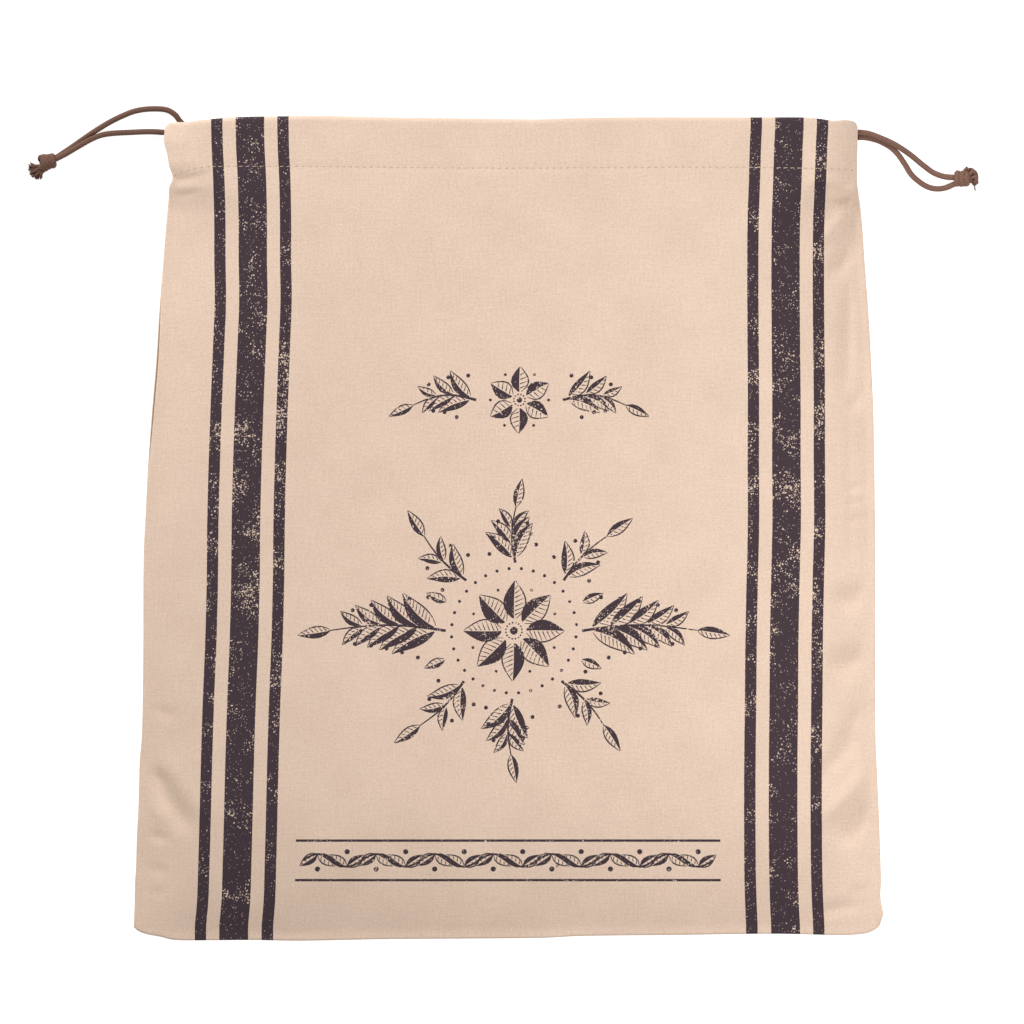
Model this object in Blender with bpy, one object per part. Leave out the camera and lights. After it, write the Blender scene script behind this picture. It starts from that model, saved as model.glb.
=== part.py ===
"""Cotton drawstring bread bag, laid flat on its back, mouth towards +Y.

Metres, +Z up. The origin is under the middle of the bag, on the surface that it lies on.
Sizes below are in millimetres and are turned to metres by MM.
"""

import bmesh
import bpy
from math import cos, exp, pi, radians, sin
from mathutils import Matrix, Vector

MM = 0.001

# Driving dimensions
CLOTH = 1.0
GAP = 0.3
CORD = 3.0
CASING = 25.4
TUNNEL = 3.7
MOUTH = 4.6
LENGTH = 437.0
HEM_HALF_WIDTH = 158.0

# The front panel lies on the back panel along its seams and rises to its loft inside them.
# At the casing it leaves the seams, so that the cords can come out between the two layers.
# The stitched hem holds the back of the casing a little off the surface.
SEAM_LIP = 4.0
LOFT_LOW = 12.0
SIDE_SLOPE = 62.0
BOTTOM_SLOPE = 76.0
CASING_END_SLOPE = 22.0
CASING_END_RISE = 6.0
CASING_END_TURN = 2.0
OPENS_AT = 178.0
OPENS_OVER = 18.0
CASING_LIFT = 0.4
LIFTS_AT = 176.0
LIFTS_OVER = 12.0
STEEPENS_AT = 150.0
STEEPENS_OVER = 42.0
SWAY = 0.35
SWAY_ACROSS = 31.0
SWAY_UP = 47.0

# Heights of the middle of each cloth layer above the surface
BACK_Z = CLOTH / 2
BACK_CASING_Z = BACK_Z + CASING_LIFT
BACK_HEM_Z = BACK_CASING_Z + CLOTH + TUNNEL
FRONT_HEM_Z = BACK_HEM_Z + CLOTH + MOUTH
FRONT_Z = FRONT_HEM_Z + CLOTH + TUNNEL
SEAM_Z = BACK_Z + CLOTH + GAP
CORD_LIFT = CLOTH / 2 + GAP + CORD / 2
BACK_CORD_Z = BACK_CASING_Z + CORD_LIFT
FRONT_CORD_Z = FRONT_HEM_Z + CORD_LIFT

# Outline of the bag: height on the bag, left edge, right edge
SIDES = [
    (-218.5, -198.8, 198.8),
    (-204.0, -198.8, 198.8),
    (-199.5, -198.8, 198.0),
    (-186.0, -198.2, 197.2),
    (-154.5, -197.2, 196.4),
    (-112.0, -195.0, 194.5),
    (-70.0, -194.0, 194.2),
    (-16.5, -194.0, 194.0),
    (15.0, -192.4, 193.7),
    (57.5, -189.7, 193.2),
    (89.5, -187.1, 191.6),
    (121.0, -185.0, 189.5),
    (153.0, -182.3, 187.4),
    (174.0, -180.7, 185.0),
    (182.5, -179.6, 184.4),
    (184.8, -177.9, 184.2),
    (188.0, -178.6, 184.2),
    (193.0, -180.2, 184.2),
    (200.5, -182.3, 184.2),
    (212.5, -182.6, 184.4),
]

# Top edge: place across, height
TOP = [
    (-182.6, 211.8),
    (-181.6, 214.0),
    (-179.7, 215.7),
    (-177.6, 216.3),
    (-171.2, 215.7),
    (-163.8, 216.6),
    (-150.0, 217.7),
    (-139.9, 218.4),
    (-128.8, 218.1),
    (-68.4, 218.1),
    (-36.6, 217.6),
    (-4.8, 217.1),
    (16.4, 216.6),
    (37.6, 217.6),
    (80.0, 218.1),
    (122.4, 218.1),
    (160.6, 217.6),
    (170.1, 216.6),
    (179.7, 215.9),
    (183.0, 214.9),
    (184.4, 212.4),
]

# Bottom edge: place across, height
BOTTOM = [
    (-198.8, -211.2),
    (-196.6, -213.3),
    (-192.4, -214.9),
    (-183.9, -216.5),
    (-179.7, -217.5),
    (-137.3, -218.1),
    (-110.8, -218.5),
    (-68.4, -217.5),
    (16.4, -216.5),
    (37.6, -215.4),
    (90.6, -214.9),
    (141.5, -214.4),
    (175.4, -215.4),
    (186.0, -214.9),
    (190.3, -213.8),
    (194.5, -211.7),
    (197.2, -208.7),
    (198.8, -204.2),
]

# Folds of the front panel: place across, place up, direction in degrees, half length, half width, height
FOLDS = [
    (-167.0, 186.9, 16.0, 11.0, 2.6, 0.9),
    (-168.0, 182.6, 14.0, 9.0, 2.4, -0.7),
    (-183.9, -142.7, -57.0, 19.0, 5.0, -1.7),
    (-176.0, -139.0, -57.0, 18.0, 5.0, 0.9),
    (-189.5, -163.5, -20.0, 7.0, 3.0, -0.8),
    (177.8, -145.4, 60.0, 14.0, 4.5, 1.5),
    (185.0, -160.5, 48.0, 9.0, 4.0, -1.3),
    (169.5, -141.5, 60.0, 13.0, 4.5, -0.8),
    (176.8, 161.2, 53.0, 8.0, 3.0, 0.8),
    (176.0, 180.5, 18.0, 10.0, 2.6, -0.8),
    (172.0, 174.5, 24.0, 9.0, 2.8, 0.6),
]

# The back panel shows past the left seam here: middle height, half length, how far
BACK_SHOWS = (83.0, 70.0, 1.3)

# Places of the rows of the cloth up from the bottom edge, and of its columns from the left edge
BODY_ROWS = [0, 3, 7, 12, 18, 26, 36, 50, 64, 74, 84, 100, 122, 148, 176, 206, 238, 268, 298, 326, 350,
             370, 384, 393, 400, 404, 408, 412, 417, 422, 427, 431, 434.5]
BACK_ROWS = [0, 6, 14, 40, 90, 150, 220, 290, 350, 385, 394.5, 400, 406.5, 411, 416, 424, 434.5]
COLUMNS = [0, 0.005, 0.012, 0.022, 0.034, 0.048, 0.0635, 0.08, 0.105, 0.135, 0.17, 0.22, 0.28, 0.35, 0.42, 0.5]
BACK_COLUMNS = [0, 0.006, 0.014, 0.034, 0.0635, 0.12, 0.22, 0.35, 0.5]

# The top of each cloth turns over in a number of steps, from where its fold begins.
# The hem below it lies level over the cords, then meets the outer layer at the stitching.
FOLD_STEPS = 6
HEM_ROWS = [5, 10, 13, 16, 19, 22.5, 25]
HEM_LEVEL = 11.0
HEM_MEETS = CASING - (LENGTH - BODY_ROWS[-1])
HEM_STITCHED_GAP = 0.4
HEM_ENDS_OVER = 10.0

# Route of the left cord: across, up, height. It starts in the left knot, runs through the front casing,
# turns round at the right side and comes back through the back casing to the same knot.
CORD_LANE_LEFT = 210.2
CORD_LANE_RIGHT = 206.4
LEFT_CORD_FRONT_END = [
    (-240.2, 195.8, 5.0),
    (-235.5, 198.2, 5.0),
    (-228.7, 202.2, 4.75),
    (-221.3, 206.4, 4.0),
    (-215.9, 208.5, 2.7),
    (-210.4, 209.4, 1.75),
    (-201.9, 209.9, 1.6),
    (-191.5, 210.3, 1.9),
    (-187.5, 210.2, 2.6),
    (-183.4, 209.9, 3.4),
    (-178.0, 210.0, 4.9),
    (-172.5, 210.1, 7.4),
    (-167.5, 210.2, 10.3),
    (-163.0, 210.2, 12.8),
    (-158.5, 210.2, 13.6),
]
LEFT_CORD_BACK_END = [
    (-160.0, 210.2, 3.2),
    (-164.5, 210.6, 3.2),
    (-169.0, 211.9, 3.2),
    (-172.5, 213.7, 3.2),
    (-174.9, 216.2, 3.2),
    (-177.0, 219.0, 3.0),
    (-181.3, 221.7, 2.2),
    (-189.7, 222.4, 1.6),
    (-198.2, 221.3, 1.6),
    (-205.1, 218.7, 1.6),
    (-212.0, 215.3, 1.6),
    (-218.6, 211.3, 1.6),
    (-225.3, 206.8, 1.6),
    (-232.1, 202.0, 1.6),
    (-239.6, 197.0, 1.7),
]
RIGHT_CORD_FRONT_END = [
    (235.6, 186.0, 3.9),
    (230.6, 186.4, 2.6),
    (224.7, 188.5, 1.7),
    (218.9, 192.7, 1.6),
    (212.5, 197.9, 2.3),
    (207.5, 201.3, 3.6),
    (202.5, 204.2, 4.5),
    (196.1, 207.0, 5.0),
    (190.3, 209.1, 5.2),
    (185.0, 209.8, 5.4),
    (180.0, 209.3, 6.3),
    (175.5, 208.0, 8.0),
    (171.0, 206.8, 10.1),
    (166.5, 206.4, 12.2),
    (162.5, 206.4, 13.3),
    (158.5, 206.4, 13.6),
]
RIGHT_CORD_BACK_END = [
    (160.0, 206.4, 3.2),
    (170.0, 206.4, 3.2),
    (178.0, 206.8, 3.3),
    (184.5, 207.2, 3.4),
    (187.5, 207.2, 3.0),
    (191.5, 206.6, 2.0),
    (196.1, 205.2, 1.6),
    (201.9, 202.0, 1.6),
    (205.6, 198.5, 1.6),
    (209.3, 193.2, 1.6),
    (213.0, 187.4, 1.6),
    (217.8, 183.2, 1.6),
    (221.9, 180.9, 1.6),
    (226.3, 180.0, 1.7),
    (231.1, 180.6, 2.0),
    (235.4, 182.4, 2.4),
]
CASING_RUN = [-154, -100, -50, 0, 50, 100, 157]
TURN_AT = 160.5
TURN_RADIUS = (FRONT_CORD_Z - BACK_CORD_Z) / 2

# Knots: middle, half sizes along, across and up, and its cut ends from start to end with their radii
LEFT_KNOT = {
    "middle": (-244.6, 194.6, 4.0),
    "half": (4.4, 4.5, 3.5),
    "turned": 34.0,
    "ends": [
        ((-246.0, 192.0, 3.4), (-253.0, 189.4, 3.0), 1.9, 2.7),
        ((-244.5, 191.0, 2.6), (-249.2, 186.0, 2.3), 1.7, 2.0),
    ],
}
RIGHT_KNOT = {
    "middle": (239.0, 185.4, 4.0),
    "half": (4.2, 4.2, 3.5),
    "turned": -8.0,
    "ends": [
        ((240.0, 186.8, 3.8), (248.0, 187.6, 3.5), 2.0, 3.1),
        ((240.0, 184.0, 3.0), (247.2, 184.0, 2.9), 1.8, 2.4),
    ],
}
RIDGE = 0.09
SEAT_RADIUS = CORD / 2 + 1.3 * GAP


def clear_scene():
    for old in list(bpy.data.objects):
        bpy.data.objects.remove(old, do_unlink=True)


def material(name, colour, roughness):
    made = bpy.data.materials.new(name)
    made.use_nodes = True
    shader = made.node_tree.nodes["Principled BSDF"]
    shader.inputs["Base Color"].default_value = (*colour, 1.0)
    shader.inputs["Roughness"].default_value = roughness
    shader.inputs["Metallic"].default_value = 0.0
    return made


def ease(t):
    t = min(max(t, 0.0), 1.0)
    return t * t * (3 - 2 * t)


def mix(a, b, t):
    return a + (b - a) * t


def on_curve(table, at, column=1):
    """The value of a column where the first column is at, on a smooth curve through the table's rows."""
    if at <= table[0][0]:
        return table[0][column]
    if at >= table[-1][0]:
        return table[-1][column]
    i = max(k for k in range(len(table) - 1) if table[k][0] <= at)

    def slope(k):
        low = max(k - 1, 0)
        high = min(k + 1, len(table) - 1)
        return (table[high][column] - table[low][column]) / (table[high][0] - table[low][0])

    step = table[i + 1][0] - table[i][0]
    t = (at - table[i][0]) / step
    a, b = table[i][column], table[i + 1][column]
    start = slope(i) * step
    end = slope(i + 1) * step
    return (
        (2 * t**3 - 3 * t**2 + 1) * a
        + (t**3 - 2 * t**2 + t) * start
        + (3 * t**2 - 2 * t**3) * b
        + (t**3 - t**2) * end
    )


def place(u, up):
    """Where the cloth's point lies in the bag's outline: u from the left seam to the right, up in mm."""
    share = up / LENGTH
    level = SIDES[0][0] + up
    across = mix(on_curve(SIDES, level, 1), on_curve(SIDES, level, 2), u)
    return across, mix(on_curve(BOTTOM, across), on_curve(TOP, across), share)


def swell(distance, reach):
    t = min(max(distance / reach, 0.0), 1.0)
    return 1 - (1 - t) ** 2


def fold_height(x, y):
    total = 0.0
    for across, up, turned, half_length, half_width, height in FOLDS:
        c, s = cos(radians(turned)), sin(radians(turned))
        along = ((x - across) * c + (y - up) * s) / half_length
        beside = (-(x - across) * s + (y - up) * c) / half_width
        total += height * exp(-(along**4) - beside**2)
    return total


def front_height(x, y):
    """Middle of the front panel's outer layer above the surface."""
    casing = ease((y - OPENS_AT) / OPENS_OVER)
    edge = SEAM_Z + CASING_END_RISE * casing
    top = mix(LOFT_LOW, FRONT_Z, ease((y - SIDES[0][0]) / (LENGTH - HEM_LEVEL)))
    left = x - on_curve(SIDES, y, 1)
    right = on_curve(SIDES, y, 2) - x
    reach = mix(SIDE_SLOPE, CASING_END_SLOPE, ease((y - STEEPENS_AT) / STEEPENS_OVER))
    lip = SEAM_LIP * (1 - casing)
    risen = swell(left - lip, reach) * swell(right - lip, reach)
    risen *= swell(y - on_curve(BOTTOM, x) - SEAM_LIP, BOTTOM_SLOPE)
    sway = SWAY * sin(x / SWAY_ACROSS + 1) * cos(y / SWAY_UP) * (1 - casing)
    return edge + (top - edge) * risen + (sway + fold_height(x, y)) * min(1.0, risen * 3)


def back_height(y):
    """Middle of the back panel's outer layer above the surface."""
    return BACK_Z + CASING_LIFT * ease((y - LIFTS_AT) / LIFTS_OVER)


def sheet(name, colour, columns, rows, point, kept):
    """One cloth: a grid of points on the middle of its thickness, thickened to both sides."""
    mesh = bpy.data.meshes.new(name)
    shape = bmesh.new()
    grid = [[shape.verts.new(Vector(point(u, row)) * MM) for u in columns] for row in rows]
    for j in range(len(rows) - 1):
        for i in range(len(columns) - 1):
            if kept(i, j):
                shape.faces.new((grid[j][i], grid[j][i + 1], grid[j + 1][i + 1], grid[j + 1][i]))
    bmesh.ops.delete(shape, geom=[v for v in shape.verts if not v.link_faces], context="VERTS")
    shape.to_mesh(mesh)
    shape.free()
    made = bpy.data.objects.new(name, mesh)
    bpy.context.collection.objects.link(made)
    made.data.materials.append(colour)
    thick = made.modifiers.new("Thickness", "SOLIDIFY")
    thick.thickness = CLOTH * MM
    thick.offset = 0.0
    thick.use_even_offset = True
    return made


def mirrored(columns):
    return list(columns) + [1 - u for u in reversed(columns[:-1])]


def casing_rows(body_rows):
    turns = [("turn", 180 * k / FOLD_STEPS) for k in range(1, FOLD_STEPS + 1)]
    return [("body", up) for up in body_rows] + turns + [("hem", under) for under in HEM_ROWS]


def casing_point(u, row, outer, hem_level, hem_end):
    """A point of a cloth whose top is turned over into a casing."""
    kind, value = row
    fold_up = BODY_ROWS[-1]
    x, y = place(u, value if kind == "body" else fold_up)
    if kind == "body":
        return x, y, outer(x, y)
    top = on_curve(TOP, x) - CLOTH / 2
    start = outer(x, y)
    at_hem = ease((HEM_HALF_WIDTH - abs(x)) / HEM_ENDS_OVER + 1)
    drop = mix(CASING_END_TURN * (1 if hem_level > start else -1), hem_level - start, at_hem)
    if kind == "turn":
        angle = radians(value)
        return x, y + (top - y) * sin(angle), start + drop * (1 - cos(angle)) / 2
    under = y - value
    meets = outer(x, under) + hem_end
    return x, under, mix(start + drop, meets, ease((value - HEM_LEVEL) / (HEM_MEETS - HEM_LEVEL)))


def in_hem(columns, i):
    """True where the column of faces i carries the hem, which stops short of the side seams."""
    seams = SIDES[-1][1:]
    return mix(*seams, columns[i]) > -HEM_HALF_WIDTH - 2 and mix(*seams, columns[i + 1]) < HEM_HALF_WIDTH + 2


def front_panel():
    columns = mirrored(COLUMNS)
    rows = casing_rows(BODY_ROWS)
    half_turn = len(BODY_ROWS) - 1 + FOLD_STEPS // 2
    return sheet(
        "front_panel",
        material("printed cotton front", (0.80, 0.63, 0.50), 0.9),
        columns,
        rows,
        lambda u, row: casing_point(u, row, front_height, FRONT_HEM_Z, -CLOTH - HEM_STITCHED_GAP),
        lambda i, j: j < half_turn or in_hem(columns, i),
    )


def back_panel():
    columns = mirrored(BACK_COLUMNS)
    rows = casing_rows(BACK_ROWS)
    middle, half_length, past = BACK_SHOWS

    def point(u, row):
        x, y, z = casing_point(u, row, lambda x, y: back_height(y), BACK_HEM_Z, CLOTH + HEM_STITCHED_GAP)
        beyond = past * ease(1 - abs(y - middle) / half_length) * (1 - ease(u / 0.03))
        return x - beyond, y, z

    return sheet(
        "back_panel",
        material("plain cotton back", (0.76, 0.60, 0.48), 0.9),
        columns,
        rows,
        point,
        lambda i, j: j < len(BACK_ROWS) - 1 or in_hem(columns, i),
    )


def turn_round(side, lane):
    """The half turn from the front casing down to the back casing, at one side."""
    middle = (FRONT_CORD_Z + BACK_CORD_Z) / 2
    angles = [pi / 2 - pi * k / 6 for k in range(7)]
    return [(side * (TURN_AT + TURN_RADIUS * cos(a)), lane, middle + TURN_RADIUS * sin(a)) for a in angles]


def cord_route(front_end, back_end, side, lane):
    """From the knot at one side, through both casings, back to the knot."""
    out = [(-side * x, lane, FRONT_CORD_Z) for x in CASING_RUN]
    back = [(side * x, lane, BACK_CORD_Z) for x in CASING_RUN]
    return front_end + out + turn_round(-side, lane) + back + back_end


def smooth(points, steps=24):
    """Dense points on a smooth curve through the given ones."""
    held = [Vector(p) for p in points]
    ends = [held[0] * 2 - held[1]] + held + [held[-1] * 2 - held[-2]]
    dense = []
    for i in range(1, len(ends) - 2):
        before, start, end, after = ends[i - 1 : i + 3]
        knots = [0.0]
        for a, b in ((before, start), (start, end), (end, after)):
            knots.append(knots[-1] + max((b - a).length, 1e-6) ** 0.5)
        for k in range(steps):
            t = mix(knots[1], knots[2], k / steps)
            a1 = before.lerp(start, (t - knots[0]) / (knots[1] - knots[0]))
            a2 = start.lerp(end, (t - knots[1]) / (knots[2] - knots[1]))
            a3 = end.lerp(after, (t - knots[2]) / (knots[3] - knots[2]))
            b1 = a1.lerp(a2, (t - knots[0]) / (knots[2] - knots[0]))
            b2 = a2.lerp(a3, (t - knots[1]) / (knots[3] - knots[1]))
            dense.append(b1.lerp(b2, (t - knots[1]) / (knots[2] - knots[1])))
    dense.append(held[-1])
    return dense


def thinned(dense, farthest=16.0, most_turn=13.0):
    """The points of the curve that its bends need."""
    kept = [dense[0]]
    heading = dense[1] - dense[0]
    for i in range(1, len(dense) - 1):
        ahead = dense[i + 1] - dense[i]
        far = (dense[i] - kept[-1]).length
        if far > farthest or (far > CORD / 2 and heading.angle(ahead) > radians(most_turn)):
            kept.append(dense[i])
            heading = ahead
    if (kept[-1] - dense[-1]).length < CORD / 2:
        kept.pop()
    return kept + [dense[-1]]


def tube(name, points, diameter):
    line = bpy.data.curves.new(name, "CURVE")
    line.dimensions = "3D"
    line.resolution_u = 1
    line.bevel_depth = diameter / 2 * MM
    line.bevel_resolution = 2
    line.use_fill_caps = True
    spline = line.splines.new("POLY")
    spline.points.add(len(points) - 1)
    for held, p in zip(spline.points, points):
        held.co = (*(Vector(p) * MM), 1.0)
    made = bpy.data.objects.new(name, line)
    bpy.context.collection.objects.link(made)
    return made


def drawcord(name, colour, front_end, back_end, side, lane):
    made = tube(name, thinned(smooth(cord_route(front_end, back_end, side, lane))), CORD)
    made.data.materials.append(colour)
    return made


def taper(name, start, end, first, last):
    """A straight tapered round piece that a Boolean step adds or takes away."""
    start, end = Vector(start) * MM, Vector(end) * MM
    shape = bmesh.new()
    length = (end - start).length
    bmesh.ops.create_cone(
        shape,
        cap_ends=True,
        segments=12,
        radius1=first * MM,
        radius2=last * MM,
        depth=length,
    )
    turn = Vector((0, 0, 1)).rotation_difference(end - start).to_matrix().to_4x4()
    bmesh.ops.transform(shape, matrix=Matrix.Translation((start + end) / 2) @ turn, verts=shape.verts)
    mesh = bpy.data.meshes.new(name)
    shape.to_mesh(mesh)
    shape.free()
    made = bpy.data.objects.new(name, mesh)
    bpy.context.collection.objects.link(made)
    made.hide_render = True
    made.display_type = "WIRE"
    return made


def knot_body(name, middle, half, turned):
    """The rounded lump of the overhand knot, with its diagonal wraps as low ridges."""
    shape = bmesh.new()
    bmesh.ops.create_uvsphere(shape, u_segments=22, v_segments=13, radius=1.0)
    for v in shape.verts:
        across = Vector((v.co.y, v.co.z, v.co.x))
        around = Vector((0, 1, 0)).angle(Vector((0, across.y, across.z)), 0.0) * (1 if across.z > 0 else -1)
        ridge = 1 + RIDGE * cos(2 * around + 3.4 * across.x) * (1 - across.x**4)
        v.co = Vector((across.x * half[0], across.y * half[1], across.z * half[2])) * ridge * MM
    spin = Matrix.Rotation(radians(turned), 4, "Z")
    bmesh.ops.transform(shape, matrix=Matrix.Translation(Vector(middle) * MM) @ spin, verts=shape.verts)
    bmesh.ops.recalc_face_normals(shape, faces=shape.faces)
    mesh = bpy.data.meshes.new(name)
    shape.to_mesh(mesh)
    shape.free()
    made = bpy.data.objects.new(name, mesh)
    bpy.context.collection.objects.link(made)
    return made


def boolean(target, other, operation):
    step = target.modifiers.new(operation.title() + " " + other.name, "BOOLEAN")
    step.operation = operation
    step.solver = "EXACT"
    step.object = other


def knot(name, colour, sizes, entries):
    """A knot with its cut ends, and a seat round each strand that comes into it."""
    made = knot_body(name, sizes["middle"], sizes["half"], sizes["turned"])
    made.data.materials.append(colour)
    for k, (start, end, first, last) in enumerate(sizes["ends"]):
        boolean(made, taper(f"{name}_end_{k}", start, end, first, last), "UNION")
    for k, (end, before) in enumerate(entries):
        end, before = Vector(end), Vector(before)
        inner = end + (end - before).normalized() * GAP
        seat = taper(f"{name}_seat_{k}", inner, before, SEAT_RADIUS, SEAT_RADIUS)
        boolean(made, seat, "DIFFERENCE")
    return made


clear_scene()
front_panel()
back_panel()
cord_colour = material("brown cotton cord", (0.20, 0.12, 0.09), 0.85)
drawcord("drawcord_left", cord_colour, LEFT_CORD_FRONT_END, LEFT_CORD_BACK_END, -1, CORD_LANE_LEFT)
drawcord("drawcord_right", cord_colour, RIGHT_CORD_FRONT_END, RIGHT_CORD_BACK_END, 1, CORD_LANE_RIGHT)
knot(
    "knot_left",
    cord_colour,
    LEFT_KNOT,
    [LEFT_CORD_FRONT_END[:2], LEFT_CORD_BACK_END[:-3:-1]],
)
knot(
    "knot_right",
    cord_colour,
    RIGHT_KNOT,
    [RIGHT_CORD_FRONT_END[:2], RIGHT_CORD_BACK_END[:-3:-1]],
)
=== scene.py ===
"""A cotton drawstring bread bag lying flat on its back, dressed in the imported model's frame.

Metres, +Z up. Sizes are in millimetres, and MM turns them to metres.
"""

from math import ceil, cos, exp, pi, radians, sin
from random import Random

import bmesh
import bpy
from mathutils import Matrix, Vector, noise
from mathutils.geometry import delaunay_2d_cdt
from mathutils.kdtree import KDTree


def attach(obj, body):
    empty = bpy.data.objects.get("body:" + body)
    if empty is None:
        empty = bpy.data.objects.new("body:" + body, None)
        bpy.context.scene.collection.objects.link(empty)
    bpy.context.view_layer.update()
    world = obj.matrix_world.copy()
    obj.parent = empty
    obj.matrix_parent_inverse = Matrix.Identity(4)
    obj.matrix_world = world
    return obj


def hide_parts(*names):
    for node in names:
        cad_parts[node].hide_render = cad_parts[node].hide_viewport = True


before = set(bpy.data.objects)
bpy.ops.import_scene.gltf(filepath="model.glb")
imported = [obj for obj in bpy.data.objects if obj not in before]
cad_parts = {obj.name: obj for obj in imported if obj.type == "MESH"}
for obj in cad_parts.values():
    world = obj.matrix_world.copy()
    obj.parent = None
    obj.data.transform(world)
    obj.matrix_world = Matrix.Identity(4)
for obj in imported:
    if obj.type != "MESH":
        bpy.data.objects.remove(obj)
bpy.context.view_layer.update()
MM = 0.001


# The studio
# A plain white table top under two soft lamps, one high on the right and one lower and farther off, beyond
# the top left corner, with an even fill. The camera looks straight down through a long lens.
VIEW_MIDDLE = (1.25, 8.8)
VIEW_WIDTH = 542.7
LENS = 400.0
SENSOR = 36.0
FLOOR_SIZE = 12000.0
FLOOR_DROP = 0.1
FLOOR_WHITE = "#a0a0a0"
FLOOR_GLOW = 0.9
FILL = 0.29

# Lamps: name, place, size, power
LAMPS = [
    ("Right lamp", (501.0, -116.0, 613.0), 400.0, 3.65),
    ("Left lamp", (-810.0, 1157.0, 751.0), 500.0, 19.4),
]


def linear(hex_colour):
    """An sRGB hex colour as linear RGBA."""
    parts = [int(hex_colour[k : k + 2], 16) / 255 for k in (1, 3, 5)]
    return (*[c / 12.92 if c <= 0.04045 else ((c + 0.055) / 1.055) ** 2.4 for c in parts], 1.0)


def add(tree, kind, inputs, operation=None, **settings):
    """Add a node with its settings. An input is linked to a socket or a node's first output, or else set."""
    made = tree.nodes.new("ShaderNode" + kind)
    if operation:
        made.operation = operation
    for name, value in settings.items():
        setattr(made, name, value)
    for key, value in inputs.items():
        if isinstance(value, bpy.types.Node):
            value = value.outputs[0]
        if isinstance(value, bpy.types.NodeSocket):
            tree.links.new(value, made.inputs[key])
        else:
            made.inputs[key].default_value = value
    return made


def new_finish(name, roughness):
    """A material and its shader."""
    made = bpy.data.materials.new(name)
    made.use_nodes = True
    shader = made.node_tree.nodes["Principled BSDF"]
    shader.inputs["Roughness"].default_value = roughness
    return made, shader


def link_object(name, data):
    made = bpy.data.objects.new(name, data)
    scene.collection.objects.link(made)
    return made


scene = bpy.context.scene
camera = link_object("Camera", bpy.data.cameras.new("Camera"))
camera.data.lens = LENS
camera.data.sensor_width = SENSOR
camera.data.clip_end = 100.0
camera.location = (VIEW_MIDDLE[0] * MM, VIEW_MIDDLE[1] * MM, VIEW_WIDTH * LENS / SENSOR * MM)
scene.camera = camera
scene.view_settings.view_transform = "Standard"

for name, lamp_place, lamp_size, power in LAMPS:
    lamp = link_object(name, bpy.data.lights.new(name, "AREA"))
    lamp.data.size = lamp_size * MM
    lamp.data.energy = power
    lamp.location = Vector(lamp_place) * MM
    lamp.rotation_euler = lamp.location.to_track_quat("Z", "Y").to_euler()

world = bpy.data.worlds.new("Fill")
scene.world = world
world.use_nodes = True
sky = world.node_tree.nodes["Background"]
sky.inputs["Strength"].default_value = FILL
sky.inputs["Color"].default_value = linear("#ffffff")

floor_mesh = bpy.data.meshes.new("Floor")
half = FLOOR_SIZE / 2 * MM
corners = [(-half, -half), (half, -half), (half, half), (-half, half)]
floor_mesh.from_pydata([(x, y, -FLOOR_DROP * MM) for x, y in corners], [], [(0, 1, 2, 3)])
floor = link_object("Floor", floor_mesh)

# White laminate, pressed matt: it mirrors nothing, and an even glow keeps it white right up to the bag
floor_paint, floor_shader = new_finish("matt white laminate table top", 0.8)
floor_shader.inputs["Base Color"].default_value = linear(FLOOR_WHITE)
floor_shader.inputs["Emission Color"].default_value = linear("#ffffff")
floor_shader.inputs["Emission Strength"].default_value = FLOOR_GLOW
floor_mesh.materials.append(floor_paint)


# The back panel
# One plain-woven natural cotton cloth, cut flat, hemmed at the mouth over a casing for the cords and sewn to
# the front along its sides and bottom. It lies flat on the table, and its edges curl up into the seams.
CLOTH = 0.6
LENGTH = 437.0
FOLD_UP = 434.5

# Outline: height, left and right side; then place across, height of the top and of the bottom
SIDES = [
    (-211.2, -199.2, 197.9), (-205, -199, 197.9), (-201.6, -198.8, 197.6), (-197.4, -198.7, 196.7),
    (-193, -198.7, 196.5), (-186.8, -198.5, 196.9), (-178.3, -198, 196.6), (-162.4, -197.5, 196.1),
    (-149.1, -196.8, 195.6), (-135.9, -196.4, 195), (-122.6, -196, 194.4), (-109.4, -194.9, 193.9),
    (-69.6, -194.2, 193.8), (-16.6, -194, 193.7), (9.9, -192.8, 193.6), (36.4, -191.4, 193.2),
    (62.9, -189.5, 192.7), (89.4, -187.3, 191.5), (115.9, -185.6, 190), (142.4, -183.5, 188),
    (155.6, -182.5, 187.2), (168.9, -181.3, 186), (175.2, -180.7, 185.2), (179.5, -180.6, 184.6),
    (181.6, -180.3, 184.2), (183.7, -178.9, 184), (185.8, -178.5, 184), (187.9, -178.9, 184),
    (192.2, -180.4, 184), (196.4, -181, 184), (200.7, -182, 184.1), (204.9, -183.1, 184.2),
    (210, -182.8, 184.3), (213, -182.4, 184.1),
]
TOP = [
    (-182.4, 212.2), (-181.6, 213.4), (-180.6, 214.3), (-178.6, 214.9), (-171.2, 215.1), (-165, 215.9),
    (-161, 216.4), (-145, 217.6), (-129, 218), (-97.5, 218.3), (-68.4, 217.6), (-34, 217.1), (-2, 216.7),
    (14, 216.5), (29.7, 217), (61.5, 217.5), (125, 217.5), (155, 217.5), (164, 216.7), (171, 215.7),
    (177, 216.2), (181.2, 215.8), (182.9, 215), (184, 213.2), (184.3, 211.5),
]
BOTTOM = [
    (-199.2, -211.2), (-196.6, -213.3), (-192.4, -214.9), (-183.9, -216.5), (-179.7, -217.7),
    (-172, -218.2), (-137.3, -218), (-110.8, -218.4), (-68.4, -217.6), (16.4, -216.9), (37.6, -215.9),
    (90.6, -215.3), (141.5, -214.7), (175.4, -215.4), (186, -214.9), (190.3, -214), (194.5, -211.9),
    (197.2, -208.7), (197.9, -205),
]
BACK_Z = CLOTH / 2
BACK_CASING_Z = 0.9
BACK_RISES = (176.0, 12.0)
BACK_HEM_Z = 5.6
BACK_SPACING = 7.0

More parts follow.
